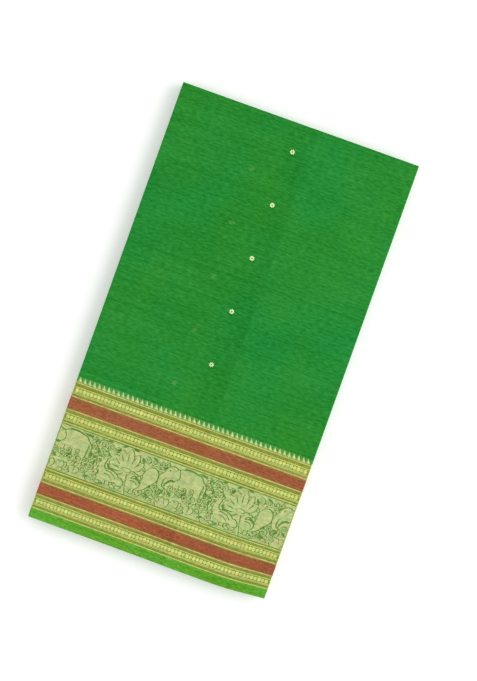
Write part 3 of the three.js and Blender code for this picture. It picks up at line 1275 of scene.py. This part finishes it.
# %% Guard stripes
PANEL_REACH = 150.0
PALE, YELLOW, BRIGHT, WARM, CREAM, SPARSE, GREEN = range(7)
Gold = namedtuple("Gold", "points triangles tone")
Guard = namedtuple("Guard", "far_edge middle red_edge")
GUARDS = [
    Guard(12.4, 21.2, 29.4),
    Guard(63.1, 55.4, 46.1),
    Guard(124.0, 132.0, 140.6),
    Guard(174.3, 165.6, 157.1),
]
Line = namedtuple("Line", "off width")
FINE_LINES = [Line(-4.7, 0.9), Line(-3.25, 0.95), Line(3.6, 1.2)]
RED_EDGE_WIDTH = 1.5
FAR_EDGE_WIDTH = 1.25
BEAD_PITCH = 4.58
BEAD_SIZES = [(4.3, 5.0), (3.9, 4.4)]
BEAD_TILT = -10.0
BEAD_POINTS = 14
BEAD_SQUARENESS = 0.75


def gold_line(middle, width, tone):
    """A straight line of gold across the whole panel."""
    x = np.arange(-PANEL_REACH, PANEL_REACH + GRID_X / 2, GRID_X)
    low = middle - width / 2
    points = np.stack(np.meshgrid(x, [low, low + width], indexing="ij"), -1).reshape(-1, 2)
    faces = quads(np.arange(len(points)).reshape(len(x), 2))
    return Gold(points, np.concatenate([faces[:, [0, 1, 2]], faces[:, [0, 2, 3]]]), tone)


def fan(outline):
    """Triangles from the middle of an outline to its edge."""
    points = np.concatenate([outline.mean(0, keepdims=True), outline])
    edge = np.arange(1, len(points))
    return points, np.stack([np.zeros_like(edge), edge, np.roll(edge, -1)], -1)


def bead_row(middle):
    count = int(2 * PANEL_REACH / BEAD_PITCH)
    row = []
    for turn in range(count):
        x = (turn - (count - 1) / 2) * BEAD_PITCH
        size = BEAD_SIZES[turn % len(BEAD_SIZES)]
        outline = oval(x, middle, *size, BEAD_TILT, BEAD_POINTS, BEAD_SQUARENESS)
        row.append(Gold(*fan(outline), BRIGHT))
    return row


def guard_stripe(guard):
    lines = [gold_line(guard.middle + line.off, line.width, YELLOW) for line in FINE_LINES]
    lines.append(gold_line(guard.red_edge, RED_EDGE_WIDTH, WARM))
    lines.append(gold_line(guard.far_edge, FAR_EDGE_WIDTH, YELLOW))
    return lines + bead_row(guard.middle)


guard_gold = [piece for guard in GUARDS for piece in guard_stripe(guard)]
print(len(guard_gold), "lines and beads in", len(GUARDS), "guard stripes")

# %% [markdown]
# ## A row of teeth
#
# The border ends towards the body in a row of small leaning spires. Each has a sparsely woven left side,
# where more of the green shows, and a full right side. They could be painted like the brocade, but a spire
# is so small that two triangles are enough for it, each with its own thread.

# %% Teeth
TOOTH_PITCH = 6.1
TOOTH_BASE = 175.8
TOOTH_HEIGHT = 6.3
TOOTH_SIDES = (-3.0, -1.0, 2.8)
TOOTH_LEAN = -0.9


def tooth(x):
    tip = (x + TOOTH_LEAN, TOOTH_BASE + TOOTH_HEIGHT)
    left, middle, right = ((x + side, TOOTH_BASE) for side in TOOTH_SIDES)
    halves = [((left, middle, tip), SPARSE), ((middle, right, tip), GREEN)]
    return [Gold(np.array(corners), np.array([(0, 1, 2)]), tone) for corners, tone in halves]


tooth_places = np.arange(-PANEL_REACH + TOOTH_PITCH / 2, PANEL_REACH, TOOTH_PITCH)
teeth = [half for x in tooth_places for half in tooth(x)]
print(len(tooth_places), "teeth of", TOOTH_HEIGHT, "mm")

# %% [markdown]
# ## Small flowers
#
# Little round flowers are scattered over the body, and one row of them runs up the middle of the panel.
# Eight petals are one wave round a circle, and the eye stays bare. The triangulation that cut the brocade
# cuts one flower, and the row repeats it, each a little further to the side.

# %% Small flowers
FLOWER_POINTS = 48
FLOWER_RADIUS = 2.75
PETALS = 8
PETAL_SWELL = 0.55
EYE = 1.7
EYE_POINTS = 14
HALF_PATCH = 4.0


def small_flower():
    angle = np.linspace(0, 2 * pi, FLOWER_POINTS, endpoint=False)
    reach = FLOWER_RADIUS + PETAL_SWELL * np.cos(PETALS * angle)
    petals = np.stack([reach * np.cos(angle), reach * np.sin(angle)], -1) + HALF_PATCH
    eye = oval(HALF_PATCH, HALF_PATCH, EYE, EYE, points=EYE_POINTS)
    points, triangles = triangulate([(petals, True), (eye, False)], 2 * HALF_PATCH, 2 * HALF_PATCH, False)
    return points - HALF_PATCH, triangles


flower_points, flower_triangles = small_flower()
flowers = []
for count in range(FLOWER_COUNT):
    place = (WOVEN_ROW.x + WOVEN_ROW.drift * count, WOVEN_ROW.first + FLOWER_PITCH * count)
    flowers.append(Gold(flower_points + place, flower_triangles, CREAM))
print(len(flowers), "flowers of", len(flower_triangles), "triangles")

# %% [markdown]
# ## Join the gold
#
# The brocade repeats along the panel, and then all the pieces become one flat patch, with a thread number
# for every triangle. Join in Object Mode would do this too, but the patch is still only numbers, and it is
# needed twice. The order of a triangle's corners tells which way it looks, so all of them are turned
# counter-clockwise.

# %% Join the gold
BROCADE_LOW = 65.3
CUT_AT_FOLD = 12.0


def brocade_pieces():
    pieces = []
    for start in np.arange(-PANEL_REACH - CUT_AT_FOLD, PANEL_REACH, REPEAT):
        placed = brocade_points + (start, BROCADE_LOW)
        middle = placed[brocade_triangles][:, :, 0].mean(1)
        pieces.append(Gold(placed, brocade_triangles[np.abs(middle) < PANEL_REACH], PALE))
    return pieces


def joined(pieces):
    points, triangles, tones, count = [], [], [], 0
    for piece in pieces:
        used, index = np.unique(piece.triangles, return_inverse=True)
        points.append(piece.points[used])
        triangles.append(index.reshape(-1, 3) + count)
        tones.append(np.full(len(piece.triangles), piece.tone))
        count += len(used)
    return np.concatenate(points), np.concatenate(triangles), np.concatenate(tones)


def counter_clockwise(points, triangles):
    a, b, c = (points[triangles[:, corner]] for corner in range(3))
    area = (b[:, 0] - a[:, 0]) * (c[:, 1] - a[:, 1]) - (c[:, 0] - a[:, 0]) * (b[:, 1] - a[:, 1])
    return np.where((area < 0)[:, None], triangles[:, ::-1], triangles)


gold_points, gold_triangles, gold_tones = joined(brocade_pieces() + teeth + flowers + guard_gold)
gold_triangles = counter_clockwise(gold_points, gold_triangles)
print(len(gold_triangles), "triangles of gold on the flat chart")

# %% [markdown]
# ## Lay the gold on the cloth
#
# Zari is a metal-wrapped thread, a tenth of a millimetre thick, that floats on the face of the cloth. The
# flat patch goes through the same `settle` as the cloth and gets an upper face, a lower face and walls
# between them. A Solidify modifier would do that too, but its walls get no room of their own on the bake
# map.
#
# Only the two outer panels get real thread. The layers between show no more than their edges, and the colour
# ramp already paints those.

# %% Lay the gold
ZARI_HEIGHT = {"top": 0.12, "underside": 0.06}
ZARI_ROOT = 0.04
ZARI_SQUARE = (0.01, 0.99)
WALL_SHIFT = (0.0007, 0.0003)


def thickened(triangles, tones, count):
    """Faces of a thick patch, whose lower points follow its upper ones, and the tone of each face."""
    edges = np.concatenate([triangles[:, [0, 1]], triangles[:, [1, 2]], triangles[:, [2, 0]]])
    open_edge = ~np.isin(edges @ (count, 1), edges @ (1, count))
    start, end = edges[open_edge].T
    walls = np.stack([end, start, start + count, end + count], -1)
    faces = triangles.tolist() + (triangles[:, ::-1] + count).tolist() + walls.tolist()
    return faces, np.concatenate([tones, tones, np.tile(tones, 3)[open_edge]])


def on_panel(side, lift):
    """Where the points of the flat patch lie, that far above the face of an outer panel."""
    x, across = gold_points.T
    off_middle = PLY_OFFSET + PLY / 2 + lift
    z = top_panel_height(x) + off_middle if side == "top" else np.full_like(x, middle_of(0) - off_middle)
    return settle(x, across - HALF_DEPTH, z) * MM


def add_gold_maps(mesh, side):
    x, across = gold_points.T
    along = TOP_MIDDLE + x if side == "top" else PANEL_END - x
    on_cloth = np.stack([along, across], -1) * MM
    share = np.stack([x / (2 * PANEL_REACH) + 0.5, across / (2 * HALF_DEPTH)], -1)
    square = into(ZARI_SQUARE, share)
    corner = corner_points(mesh)
    add_map(mesh, "Cloth", np.tile(on_cloth, (2, 1))[corner])
    add_map(mesh, "OFBake", np.concatenate([square, square + WALL_SHIFT])[corner])


def lay_gold(side):
    triangles = gold_triangles if side == "top" else gold_triangles[:, ::-1]
    faces, face_tones = thickened(triangles, gold_tones, len(gold_points))
    points = np.concatenate([on_panel(side, lift) for lift in (ZARI_HEIGHT[side], -ZARI_ROOT)])
    made = make_object(f"zari_{side}", points, faces)
    made.data.polygons.foreach_set("material_index", face_tones.astype(np.int32))
    add_gold_maps(made.data, side)
    return made


zari = [lay_gold(side) for side in ZARI_HEIGHT]
for piece in zari:
    piece.data.calc_loop_triangles()
    print(piece.name, len(piece.data.loop_triangles), "triangles")

# %% [markdown]
# ## The gold thread
#
# Zari gleams softly, because it is a flat metal strip wound round a yarn. A full metal would mirror the
# studio, so the shader is only partly metallic and fairly rough. Fine lines along the cloth are the threads,
# and a slow noise makes some lengths paler, as on a handmade thread. Seven threads differ in colour.

# %% Gold thread
ZARI_LENGTHS = (25.0, 420.0)
ZARI_LENGTHS_DEPTH = 0.08
ZARI_GRAIN = (190.0, 330.0)
ZARI_GRAIN_DEPTH = 0.15
ZARI_PATCH = (110.0, 150.0)
ZARI_HUE = (0.455, 0.515)
ZARI_THREADS = 1500.0
ZARI_RELIEF = 2.0
ZARI_BUMP = 0.4
ZARI_ROUGHNESS = 0.5
ZARI_GLOSS = 0.3


def zari_colour(tree, place, lengths, colour):
    grain = swing(tree, streaks(tree, place, ZARI_GRAIN), ZARI_GRAIN_DEPTH)
    value = total(tree, swing(tree, lengths, ZARI_LENGTHS_DEPTH), 1.0, grain)
    hue = remap(tree, streaks(tree, place, ZARI_PATCH), NOISE_RANGE, ZARI_HUE)
    inputs = {"Color": linear(colour), "Hue": hue, "Value": value}
    return add_node(tree, "ShaderNodeHueSaturation", inputs).outputs["Color"]


def zari_material(name, colour, metallic):
    made, tree, surface = new_material(name)
    place, _, across = cloth_place(tree)
    lengths = streaks(tree, place, ZARI_LENGTHS)
    threads = calculate(tree, "SINE", calculate(tree, "MULTIPLY", across, 2 * pi * ZARI_THREADS))
    height = calculate(tree, "MULTIPLY_ADD", lengths, ZARI_RELIEF, threads)
    inputs = {"Height": height, "Strength": ZARI_BUMP, "Distance": BUMP_DEPTH}
    bump = add_node(tree, "ShaderNodeBump", inputs)
    tree.links.new(zari_colour(tree, place, lengths, colour), surface.inputs["Base Color"])
    tree.links.new(bump.outputs["Normal"], surface.inputs["Normal"])
    surface.inputs["Metallic"].default_value = metallic
    surface.inputs["Roughness"].default_value = ZARI_ROUGHNESS
    surface.inputs["Specular IOR Level"].default_value = ZARI_GLOSS
    return made


gold_threads = [
    zari_material("zari_pale", "#b3c680", 0.15),
    zari_material("zari_yellow", "#bccd6e", 0.2),
    zari_material("zari_bright", "#c6d676", 0.2),
    zari_material("zari_warm", "#cdb86e", 0.15),
    zari_material("zari_cream", "#d6eeac", 0.1),
    zari_material("zari_sparse", "#86b263", 0.1),
    zari_material("zari_green", "#b9d98e", 0.1),
]
for piece in zari:
    for material in gold_threads:
        piece.data.materials.append(material)
print([material.name for material in gold_threads])

# %% [markdown]
# ## Attach the pieces
#
# The cloth stands for the imported solid, so that solid is hidden. Nothing moves, so the cloth and the gold
# ride on the one body.

for piece, finish in [(cloth, "cotton")] + [(piece, "zari") for piece in zari]:
    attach(piece, "root")
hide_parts(PILE)

# %% [markdown]
# ## Floor
#
# The pile lies on a plain pale floor. A white plane under a lamp still looks grey towards its edges, so this
# one glows faintly of itself. That keeps it near white without washing out the cloth.

# %% Floor
WHITE = (1, 1, 1, 1)
FLOOR_SIZE = 12.0
FLOOR_COLOUR = "#fefefd"
FLOOR_ROUGHNESS = 0.9
FLOOR_GLOSS = 0.1
FLOOR_GLOW = 0.18


def floor_material():
    made, _, surface = new_material("studio_floor")
    surface.inputs["Base Color"].default_value = linear(FLOOR_COLOUR)
    surface.inputs["Roughness"].default_value = FLOOR_ROUGHNESS
    surface.inputs["Specular IOR Level"].default_value = FLOOR_GLOSS
    surface.inputs["Emission Color"].default_value = WHITE
    surface.inputs["Emission Strength"].default_value = FLOOR_GLOW
    return made


half = FLOOR_SIZE / 2
floor_points = np.array([(-half, -half, 0), (half, -half, 0), (half, half, 0), (-half, half, 0)])
floor = make_object("floor", floor_points, [(0, 1, 2, 3)])
floor.data.materials.append(floor_material())
floor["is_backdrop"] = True
print("floor of", FLOOR_SIZE, "m")

# %% [markdown]
# ## Light
#
# A white sky fills the shadows. One large lamp, high on the right, is just strong enough to show the tucked
# edge and the thickness of the folds. A small lamp or a sun would draw hard shadows, which a soft studio
# doesn't have.

# %% Light
SKY = 0.77
LAMP_PLACE = (1.7, 0.5, 1.9)
LAMP_SIZE = 2.2
LAMP_POWER = 29.0

scene = bpy.context.scene
scene.world = bpy.data.worlds.new("studio")
scene.world.use_nodes = True
sky = scene.world.node_tree.nodes["Background"]
sky.inputs["Strength"].default_value = SKY
sky.inputs["Color"].default_value = WHITE
scene.view_settings.view_transform = "Standard"

lamp_data = bpy.data.lights.new("soft_lamp", "AREA")
lamp_data.size = LAMP_SIZE
lamp_data.energy = LAMP_POWER
lamp = bpy.data.objects.new("soft_lamp", lamp_data)
lamp.location = LAMP_PLACE
aim = -lamp.location
lamp.rotation_euler = aim.to_track_quat("-Z", "Y").to_euler()
scene.collection.objects.link(lamp)
print("lamp at", LAMP_PLACE, "power", LAMP_POWER, "W")

# %% [markdown]
# ## Camera
#
# The view is straight down, with the pile turned on the page. A long lens far above keeps the sides
# parallel, where a short one near by would spread them. The picture is 477 by 681 pixels, and one pixel
# covers a fixed length of cloth, so the distance follows from the lens.

# %% Camera
PICTURE_LONG_SIDE = 681
MM_PER_PIXEL = 1.2094
TURN = 19.7
LENS = 200.0
SENSOR = 36.0
PILE_OFF_CENTRE = (-15.26, -1.46)

camera_data = bpy.data.cameras.new("camera")
camera_data.lens = LENS
camera_data.sensor_width = SENSOR
camera = bpy.data.objects.new("camera", camera_data)
right = np.array([np.cos(radians(TURN)), np.sin(radians(TURN))])
up = np.array([-right[1], right[0]])
centre = -(PILE_OFF_CENTRE[0] * right + PILE_OFF_CENTRE[1] * up) * MM_PER_PIXEL * MM
top_of_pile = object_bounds()[1].z
distance = PICTURE_LONG_SIDE * MM_PER_PIXEL * MM * LENS / SENSOR
camera.location = (*centre, top_of_pile + distance)
camera.rotation_euler = (0, 0, radians(TURN))
scene.collection.objects.link(camera)
scene.camera = camera
print(f"camera {distance:.2f} m above the pile")
